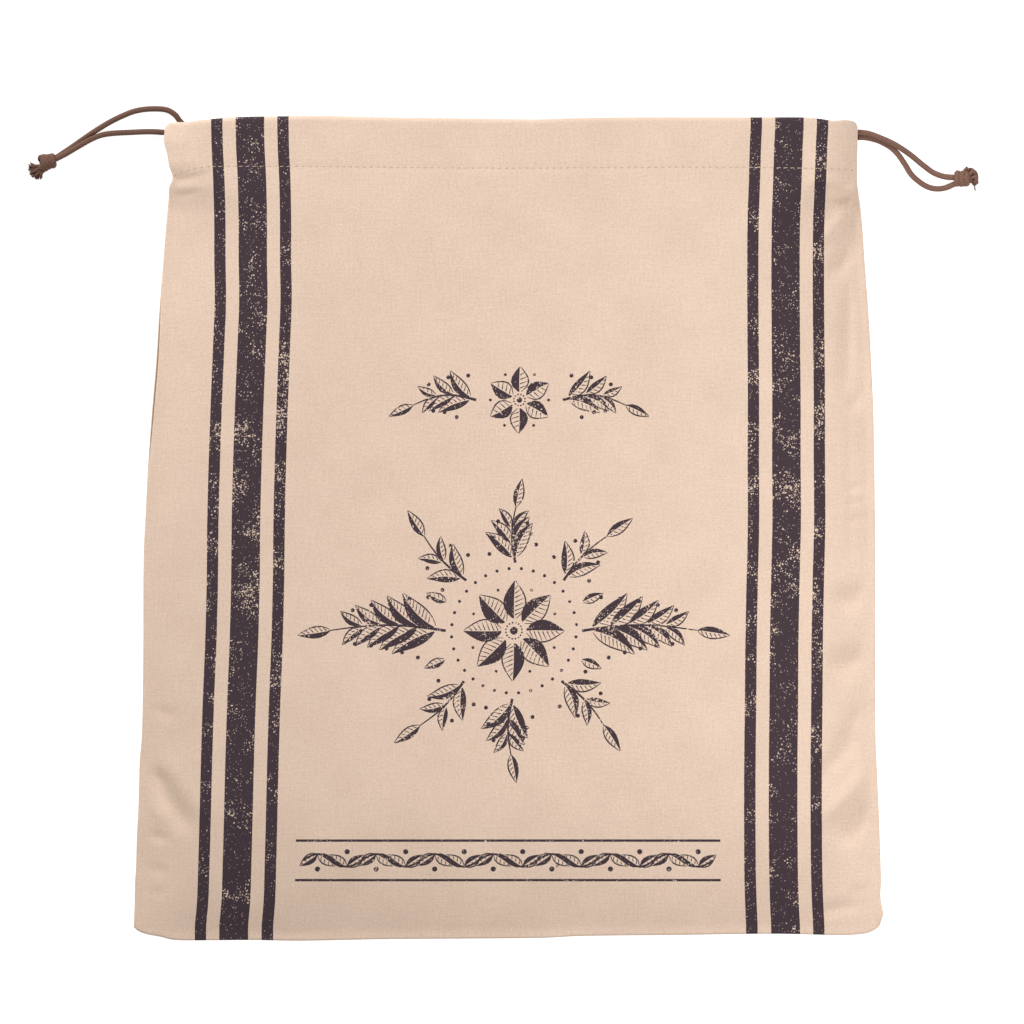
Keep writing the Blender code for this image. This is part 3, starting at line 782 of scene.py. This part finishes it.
def printed(tree, cloth, plain):
    """The plain colour with the print over it."""
    split = add(tree, "SeparateXYZ", {0: cloth})
    rough = add(tree, "TexNoise", {"Vector": cloth, "Scale": 1.4, "Detail": 1.0})
    across = split.outputs[0]
    for middle in ((STRIPE_LEFT + STRIPE_RIGHT) / 2, (STRIPE_RIGHT - STRIPE_LEFT) / 2):
        across = add(tree, "Math", {0: across, 1: middle}, "SUBTRACT")
        across = add(tree, "Math", {0: across}, "ABSOLUTE")
    across = add(tree, "Math", {0: rough, 1: RAGGED_EDGE, 2: across}, "MULTIPLY_ADD")
    wide = add(tree, "Math", {0: across, 1: (WIDE_STRIPE + RAGGED_EDGE) / 2}, "LESS_THAN")
    thin = add(tree, "Math", {0: across, 1: THIN_STRIPE_FROM_MIDDLE + RAGGED_EDGE / 2}, "SUBTRACT")
    thin = add(tree, "Math", {0: thin}, "ABSOLUTE")
    thin = add(tree, "Math", {0: thin, 1: THIN_STRIPE / 2}, "LESS_THAN")
    design = add(tree, "Attribute", {}, attribute_name="ink").outputs["Fac"]
    inked = add(tree, "Math", {0: wide, 1: thin}, "MAXIMUM")
    inked = add(tree, "Math", {0: inked, 1: design}, "MAXIMUM")

    # Where the print is worn, and the specks there
    patches = add(tree, "TexNoise", {"Vector": cloth, "Scale": 0.07, "Detail": 3.0})
    from_worst = add(tree, "Math", {0: split.outputs[1], 1: MOST_WORN[0]}, "SUBTRACT")
    from_worst = add(tree, "Math", {0: from_worst}, "ABSOLUTE")
    less = add(tree, "MapRange", {"Value": from_worst, "From Max": MOST_WORN[1], "To Max": MOST_WORN[2]})
    patches = add(tree, "Math", {0: patches, 1: less}, "SUBTRACT")
    worn = add(tree, "MapRange", {"Value": patches, "From Min": WORN_RANGE[0], "From Max": WORN_RANGE[1]})
    ragged = add(tree, "TexNoise", {"Vector": cloth, "Scale": 2.2, "Detail": 2.0}).outputs["Color"]
    ragged = add(tree, "VectorMath", {0: ragged, "Scale": RAGGED_SPECKS}, "SCALE")
    ragged = add(tree, "VectorMath", {0: cloth, 1: ragged}, "ADD")
    bare = 0.0
    for turn, across, up, radius, whole, rubbed in SPECKS:
        way = add(tree, "VectorRotate", {0: ragged, "Angle": radians(turn)}, rotation_type="Z_AXIS")
        way = add(tree, "VectorMath", {0: way, 1: (1 / across, 1 / up, 0.0)}, "MULTIPLY")
        cells = add(tree, "TexVoronoi", {"Vector": way, "Scale": 1.0}, voronoi_dimensions="2D")
        drawn = add(tree, "SeparateXYZ", {0: cells.outputs["Color"]})
        chance = add(tree, "MapRange", {"Value": worn, "To Min": whole, "To Max": rubbed})
        size = add(tree, "Math", {0: drawn, 1: chance}, "SUBTRACT")
        size = add(tree, "MapRange", {"Value": size, "From Min": 0.0, "From Max": -0.12, "To Max": radius})
        inside = add(tree, "Math", {0: size, 1: cells.outputs["Distance"]}, "SUBTRACT")
        speck = add(tree, "MapRange", {"Value": inside, "From Min": -0.02, "From Max": 0.06})
        bare = add(tree, "Math", {0: speck, 1: bare}, "MAXIMUM")
    kept = add(tree, "Math", {0: bare, 1: -SPECKS_SEEN, 2: 1.0}, "MULTIPLY_ADD")
    cover = add(tree, "Math", {0: inked, 1: kept}, "MULTIPLY")
    return add(tree, "Mix", {0: cover, 6: plain, 7: linear(INK)}, data_type="RGBA").outputs[2]


spacing = [(4.0, lambda p: True), (2.4, close_to_edge), (1.6, round_folds)]
cut = cut_cloth(TURN_ARC / 2, spacing, [[on_bag(p) for p in shape] for shape in leaf_design()])
sides = [cotton("plain woven natural cotton, screen printed", printed), plain_cotton]
front = sew_cloth("front_cloth", cut, front_height, FRONT_HEM_Z, -CLOTH - 0.1, 1, sides, front_within)
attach(front, "root")
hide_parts("front_panel")


# The stitching
# Lockstitch in natural cotton thread, 3.6 mm to a stitch, that holds the casing's hem. Each stitch comes up
# through a needle hole, lies half sunk in the cloth and goes down again.
STITCH_LENGTH = 3.1
THREAD_RADIUS = 0.19
STITCH_ENDS = (-49, 50)
STITCH_SLANT = 0.12
STITCH_SUNK = 0.02
STITCH_DIVE = 0.5
THREAD_TAPER = 0.35
THREAD_COLOUR = "#d0b8a7"


def tube(shape, line, radii, sides=6, relief=None):
    """Add a round tube along a line of points. relief gives a factor on the radius at a ring and a side."""
    rings = []
    normal = Vector((0, 0, 1))
    for i, p in enumerate(line):
        ahead = (line[min(i + 1, len(line) - 1)] - line[max(i - 1, 0)]).normalized()
        normal = (normal - ahead * normal.dot(ahead)).normalized()
        across = ahead.cross(normal)
        ring = []
        for k in range(sides):
            angle = 2 * pi * k / sides
            radius = radii[i] * (relief(i, k) if relief else 1.0)
            ring.append(shape.verts.new((p + (normal * cos(angle) + across * sin(angle)) * radius) * MM))
        rings.append(ring)
    for a, b in zip(rings, rings[1:]):
        for k in range(sides):
            shape.faces.new((a[k], b[k], b[(k + 1) % sides], a[(k + 1) % sides]))
    shape.faces.new(rings[0])
    shape.faces.new(rings[-1][::-1])
    return rings


def finish_mesh(name, shape, finish):
    """A mesh shape as a smooth object with its material."""
    bmesh.ops.recalc_face_normals(shape, faces=shape.faces)
    mesh = bpy.data.meshes.new(name)
    shape.to_mesh(mesh)
    shape.free()
    mesh.shade_smooth()
    mesh.materials.append(finish)
    return link_object(name, mesh)


# Natural cotton thread, twisted: a little smoother than the cloth, and a shade darker
thread_finish, thread_shader = new_finish("natural cotton sewing thread, twisted", 0.7)
thread_shader.inputs["Base Color"].default_value = linear(THREAD_COLOUR)

stitches = bmesh.new()
for n in range(*STITCH_ENDS):
    middle = (n + 0.5) * STITCH_PITCH
    line, radii = [], []
    for k in range(7):
        s = k / 3 - 1
        x = middle + s * STITCH_LENGTH / 2
        y = on_curve(STITCH_LINE, x) + STITCH_SLANT * s
        z = front_height(x, y) + CLOTH / 2 - STITCH_SUNK - STITCH_DIVE * s**4
        line.append(Vector((x, y, z)))
        radii.append(THREAD_RADIUS * (1 - THREAD_TAPER * s**4))
    tube(stitches, line, radii)
stitching = finish_mesh("casing_stitching", stitches, thread_finish)
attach(stitching, "root")


# The drawcords
# Two round braided cotton cords, brown and matt and alike. Their colours are painted apart: the left one
# darker, as painted shade, and the right one lighter, as painted light. Each goes round the mouth once
# through both casings, and its two ends come out at one top corner and are knotted together there.
CORD = 3.0
CORD_LANE_LEFT = 210.2
CORD_LANE_RIGHT = 206.4
LEFT_FRONT_END = [
    (-240.2, 195.8, 5), (-235.5, 198.2, 5), (-228.7, 202.2, 4.75), (-221.3, 206.4, 4), (-215.9, 208.5, 2.7),
    (-210.4, 209.4, 1.75), (-201.9, 209.9, 1.6), (-191.5, 210.3, 1.9), (-187.5, 210.2, 2.6),
    (-183.4, 209.9, 3.4), (-178, 210, 4.9), (-172.5, 210.1, 7.4), (-167.5, 210.2, 10.3),
    (-163, 210.2, 12.8), (-158.5, 210.2, 13.6),
]
LEFT_BACK_END = [
    (-160, 210.2, 3.2), (-164.5, 210.6, 3.2), (-169, 211.9, 3.2), (-172.5, 213.7, 3.2),
    (-174.9, 216.2, 3.2), (-177, 219, 3), (-181.3, 221.7, 2.2), (-189.7, 222.4, 1.6), (-198.2, 221.3, 1.6),
    (-205.1, 218.7, 1.6), (-212, 215.3, 1.6), (-218.6, 211.3, 1.6), (-225.3, 206.8, 1.6),
    (-232.1, 202, 1.6), (-239.6, 197, 1.7),
]
RIGHT_FRONT_END = [
    (235.6, 186, 3.9), (230.6, 186.4, 2.6), (224.7, 188.5, 1.7), (218.9, 192.7, 1.6), (212.5, 197.9, 2.3),
    (207.5, 201.3, 3.6), (202.5, 204.2, 4.5), (196.1, 207, 5), (190.3, 209.1, 5.2), (185, 209.8, 5.4),
    (180, 209.3, 6.3), (175.5, 208, 8), (171, 206.8, 10.1), (166.5, 206.4, 12.2), (162.5, 206.4, 13.3),
    (158.5, 206.4, 13.6),
]
RIGHT_BACK_END = [
    (160, 206.4, 3.2), (170, 206.4, 3.2), (178, 206.8, 3.3), (184.5, 207.2, 3.4), (187.5, 207.2, 3),
    (191.5, 206.6, 2), (196.1, 205.2, 1.6), (201.9, 202, 1.6), (205.6, 198.5, 1.6), (209.3, 193.2, 1.6),
    (213, 187.4, 1.6), (217.8, 183.2, 1.6), (221.9, 180.9, 1.6), (226.3, 180, 1.7), (231.1, 180.6, 2),
    (235.4, 182.4, 2.4),
]

# Inside the casings: places across, where the cord turns round, and its heights
CASING_RUN = [-154, -100, -50, 0, 50, 100, 157]
TURN_AT = 160.5
BACK_CORD_Z = 3.2
FRONT_CORD_Z = 13.6

# Dyed cotton: colour of the strands, and painted shade in the grooves between them. The left cord's pair is
# painted darker than the right's, as painted shade. The braid's pitch is the real one.
LEFT_CORD_COLOURS = ("#735547", "#5f4539")
RIGHT_CORD_COLOURS = ("#886658", "#705245")
BRAID_PITCH = 1.9
BRAID_STRANDS = 12
BRAID_RELIEF = 0.03
BRAID_MEAN = 0.6
TAIL_SPACING = 0.4
TAIL_SIDES = 30


def smooth(points, spacing):
    """Evenly spaced points on a smooth curve through the given ones."""
    held = [Vector(p) for p in points]
    ends = [held[0] * 2 - held[1]] + held + [held[-1] * 2 - held[-2]]
    dense = []
    for i in range(1, len(ends) - 2):
        before, start, end, after = ends[i - 1 : i + 3]
        times = [0.0]
        for a, b in ((before, start), (start, end), (end, after)):
            times.append(times[-1] + max((b - a).length, 1e-6) ** 0.5)
        for k in range(24):
            t = mix(times[1], times[2], k / 24)
            near = [before, start, end, after]
            for level in (1, 2):
                shares = [(t - times[n]) / (times[n + level] - times[n]) for n in range(4 - level)]
                near = [a.lerp(b, share) for a, b, share in zip(near, near[1:], shares)]
            dense.append(near[0].lerp(near[1], (t - times[1]) / (times[2] - times[1])))
    dense.append(held[-1])
    lengths = [0.0]
    for a, b in zip(dense, dense[1:]):
        lengths.append(lengths[-1] + (b - a).length)
    steps = max(2, round(lengths[-1] / spacing))
    even, i = [], 0
    for k in range(steps + 1):
        wanted = lengths[-1] * k / steps
        while i < len(dense) - 2 and lengths[i + 1] < wanted:
            i += 1
        even.append(dense[i].lerp(dense[i + 1], (wanted - lengths[i]) / (lengths[i + 1] - lengths[i])))
    return even


def braided_tube(shape, layer, line, radii, spacing, sides):
    """A tube with the relief of a braid: two sets of strands that cross, one winding each way."""

    def strands(i, k):
        wind = 2 * pi * i * spacing / BRAID_PITCH
        turn = BRAID_STRANDS / 2 * 2 * pi * k / sides
        return max(cos(turn + wind), cos(turn - wind))

    rings = tube(shape, line, radii, sides, lambda i, k: 1 + BRAID_RELIEF * (strands(i, k) - BRAID_MEAN))
    for i, ring in enumerate(rings):
        for k, v in enumerate(ring):
            v[layer] = strands(i, k)


def cord_finish(name, colour, groove_shade):
    """Brown cotton, braided: matt, with painted shade in the grooves between the strands and a few lighter
    fibres.
    """
    made, shader = new_finish(name, 0.85)
    tree = made.node_tree
    shader.inputs["Specular IOR Level"].default_value = 0.25
    where = add(tree, "TexCoord", {}).outputs["Object"]
    fibres = add(tree, "TexNoise", {"Vector": where, "Scale": 1 / (0.5 * MM), "Detail": 3.0})
    depth = add(tree, "Attribute", {}, attribute_name="relief").outputs["Fac"]
    # The braid's relief darkens the grooves towards the groove colour as painted shade; the fibres, and the
    # yarns' own tone in the knots, vary it at random
    shade = add(tree, "Math", {0: fibres, 1: 0.4, 2: depth}, "MULTIPLY_ADD")
    share = add(tree, "MapRange", {"Value": shade, "From Min": -0.1, "From Max": 1.1})
    dyed = add(tree, "Mix", {0: share, 6: linear(groove_shade), 7: linear(colour)}, data_type="RGBA")
    tree.links.new(dyed.outputs[2], shader.inputs["Base Color"])
    bump = add(tree, "Bump", {"Height": fibres, "Strength": 0.4, "Distance": 0.1 * MM})
    tree.links.new(bump.outputs[0], shader.inputs["Normal"])
    return made


# The two cords' materials are lit and shaded copies of one cotton: the left is painted darker, the right
# painted lighter
cord_cottons = {
    "left": cord_finish("round braided cotton cord, dyed brown", *LEFT_CORD_COLOURS),
    "right": cord_finish("round braided cotton cord, dyed brown, more faded", *RIGHT_CORD_COLOURS),
}


def fit_cord(name, shape, node):
    """A mesh shape as a dressed piece of a cord or knot."""
    made = finish_mesh(name, shape, cord_cottons[node.split("_")[1]])
    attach(made, "root")
    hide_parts(node)
    return made


def cord_piece(name, points, spacing, sides, node):
    """A stretch of cord as a tube with its braid, and its middle line."""
    line = smooth(points, spacing)
    shape = bmesh.new()
    layer = shape.verts.layers.float.new("relief")
    braided_tube(shape, layer, line, [CORD / 2] * len(line), spacing, sides)
    return fit_cord(name, shape, node), line


def turn_round(side, lane):
    """The half turn from the front casing down to the back casing, at one side."""
    middle = (FRONT_CORD_Z + BACK_CORD_Z) / 2
    radius = (FRONT_CORD_Z - BACK_CORD_Z) / 2
    angles = [pi / 2 - pi * k / 6 for k in range(7)]
    return [(side * (TURN_AT + radius * cos(a)), lane, middle + radius * sin(a)) for a in angles]


# Points of a front end up to just inside the casing, and of a back end before it comes out
INSIDE_FRONT = 11
INSIDE_BACK = 3
tails = {}
for way, node, lane, front_end, back_end in (
    (-1, "drawcord_left", CORD_LANE_LEFT, LEFT_FRONT_END, LEFT_BACK_END),
    (1, "drawcord_right", CORD_LANE_RIGHT, RIGHT_FRONT_END, RIGHT_BACK_END),
):
    out = front_end[INSIDE_FRONT - 1 :] + [(-way * x, lane, FRONT_CORD_Z) for x in CASING_RUN]
    home = [(way * x, lane, BACK_CORD_Z) for x in CASING_RUN] + back_end[: INSIDE_BACK + 1]
    cord_piece(node + "_in_casing", out + turn_round(-way, lane) + home, 1.6, 10, node)
    for name, points in (("front", front_end[:INSIDE_FRONT][::-1]), ("back", back_end[INSIDE_BACK:])):
        tails[node, name] = cord_piece(f"{node}_{name}_tail", points, TAIL_SPACING, TAIL_SIDES, node)


# The knots
# Each is one overhand knot tied in both strands together and pulled tight, with the cut ends left short.
# The braid of the cut ends has come apart into its yarns, which spread and curl round a dark hollow.
FINE_STRANDS = 9
ON_TABLE = 0.5

# Yarns: step of their points, how far from its middle their strands lie in shares of the radius, and taper
YARN_SPACING = 0.45
YARN_LAY = 0.62
YARN_TAPER = 0.45


def knot_piece(name, node, middle, towards, strands, wraps, yarns, seed):
    """A knot and its cut ends, towards the way they point.

    Strands go through it: points and end radius. Wraps go round it: first and last angle, place along,
    lean, radius, half width and half height. Yarns hang loose: root, bend, tip and radius.
    """
    rng = Random(seed)
    middle = Vector(middle)
    ahead = Vector(towards).normalized()
    up = Vector((0, 0, 1))
    side = up.cross(ahead)
    shape = bmesh.new()
    layer = shape.verts.layers.float.new("relief")

    def strand(points, radius, end_radius):
        line = smooth(points, TAIL_SPACING)
        radii = [mix(radius, end_radius, ease(k / (len(line) - 1) * 1.6 - 0.6)) for k in range(len(line))]
        braided_tube(shape, layer, line, radii, TAIL_SPACING, TAIL_SIDES)

    for points, end_radius in strands:
        strand(points, CORD / 2, end_radius)
    for first, last, along, lean, radius, half_width, half_height in wraps:
        points = []
        for k in range(19):
            angle = radians(mix(first, last, k / 18))
            round_it = side * half_width * cos(angle) + up * half_height * sin(angle)
            points.append(middle + round_it + ahead * (along + lean * (k / 9 - 1)))
        strand(points, radius, radius)
    for root, bend, tip, radius in yarns:
        line = smooth([root, Vector(root).lerp(Vector(bend), 0.6), bend, tip], YARN_SPACING)
        for n in range(FINE_STRANDS):
            around, from_middle = 2 * pi * n / (FINE_STRANDS - 1), YARN_LAY * radius if n else 0.0
            twist, loose, shade = rng.uniform(1.5, 3.5), rng.uniform(0.1, 0.7), rng.uniform(0.1, 1.1)
            path = []
            for i, p in enumerate(line):
                ahead = (line[min(i + 1, len(line) - 1)] - line[max(i - 1, 0)]).normalized()
                first = ahead.cross(up).normalized()
                share = i / (len(line) - 1)
                angle = around + twist * share
                spread = from_middle + loose * radius * share**3
                path.append(p + (first * cos(angle) + ahead.cross(first) * sin(angle)) * spread)
            path.append(path[-1] * 2 - path[-2] + ahead * rng.uniform(-0.2, 0.5))
            path = [Vector((p.x, p.y, max(p.z, ON_TABLE))) for p in path]
            thick = 0.42 * max(radius, 0.45)
            thickness = [thick * (1 - YARN_TAPER * (k / len(path)) ** 4) for k in range(len(path))]
            for ring in tube(shape, path, thickness, 7):
                for v in ring:
                    v[layer] = shade + rng.uniform(-0.15, 0.15)
    return fit_cord(name, shape, node)


left_knot = knot_piece(
    "left_cord_knot",
    "knot_left",
    (-244.5, 194.2, 4),
    (-0.97, -0.24, 0),
    [
        ([*LEFT_FRONT_END[1::-1], (-244, 193.6, 4.6), (-247, 191.9, 4), (-248.6, 190.9, 3.5)], 2.1),
        ([*LEFT_BACK_END[-2:], (-243.5, 194.6, 2.4), (-246.6, 191.2, 2.4), (-248, 189.6, 2.4)], 1.8),
    ],
    [
        (205, -200, -2.2, 0.5, 2, 2.1, 2), (190, -190, 0.2, 0.4, 1.9, 2.3, 1.9),
        (185, -215, 2.3, 0.7, 2, 2.8, 1.9),
    ],
    [
        ((-248.4, 192, 3.6), (-251.3, 191.9, 4.2), (-253.8, 192.7, 3.3), 1),
        ((-248.6, 191.3, 2.6), (-251.8, 190.7, 2.4), (-254.1, 190.9, 2), 1),
        ((-248.6, 190.9, 4.2), (-251.6, 189.7, 4.9), (-253.6, 188.9, 3.8), 0.95),
        ((-248.6, 190.4, 1.8), (-251.3, 188.7, 1.5), (-253, 187.3, 1.2), 1),
        ((-248.2, 190, 3.6), (-250.4, 187.9, 4.2), (-251.5, 186.4, 3.2), 0.95),
        ((-247.8, 189.8, 2.2), (-249.6, 187.3, 2), (-250.2, 185.9, 1.5), 1),
        ((-247.2, 189.9, 3.2), (-248.3, 187.8, 3.5), (-248.7, 186, 2.6), 1),
    ],
    3,
)
right_knot = knot_piece(
    "right_cord_knot",
    "knot_right",
    (239.3, 185.3, 4),
    (0.99, -0.05, 0),
    [
        ([*RIGHT_FRONT_END[1::-1], (239.4, 186.4, 4.6), (241.6, 187, 4.3), (243, 187.4, 4)], 2.2),
        ([*RIGHT_BACK_END[-2:], (239.4, 184.2, 2.4), (241.8, 184, 2.6), (243.4, 184.2, 2.8)], 1.9),
    ],
    [
        (205, -195, -2.2, 0.2, 1.75, 2.65, 2.2), (190, -170, 0.3, 0.3, 1.85, 2.5, 2.2),
        (200, -190, 2.6, 0.2, 1.75, 2.3, 2.1),
    ],
    [
        ((242.6, 188, 3.8), (240.9, 189.5, 4.4), (242.4, 190.3, 3.6), 0.95),
        ((243.2, 187.8, 3), (243.3, 190, 3.2), (245, 189.9, 2.8), 1),
        ((243.2, 187.2, 4.4), (245.3, 189.4, 5.3), (246.8, 188.2, 4.4), 0.95),
        ((243.4, 186.6, 2.4), (246.6, 187.6, 2.2), (247.4, 186.1, 1.9), 1),
        ((243.2, 186, 3.6), (246.9, 186.3, 4.9), (247.1, 184.3, 4.2), 0.95),
        ((243.4, 184.8, 3), (246.3, 184.5, 3.2), (247, 182.9, 2.8), 0.95),
        ((243.2, 184, 2.2), (245.2, 183.6, 2.2), (246.2, 182.2, 1.7), 0.8),
        ((245, 183.6, 2.4), (246.2, 181.8, 2), (246.6, 179.8, 1.2), 0.2),
    ],
    5,
)

# Tails: where each leaves the casing, its length from its start inside the casing, and its knot
for key, leaves_at, length, knot in (
    (("drawcord_left", "front"), LEFT_FRONT_END[9], 66.0, left_knot),
    (("drawcord_left", "back"), LEFT_BACK_END[4], 77.0, left_knot),
    (("drawcord_right", "front"), RIGHT_FRONT_END[9], 63.0, right_knot),
    (("drawcord_right", "back"), RIGHT_BACK_END[3], 62.0, right_knot),
):
    tail, line = tails[key]
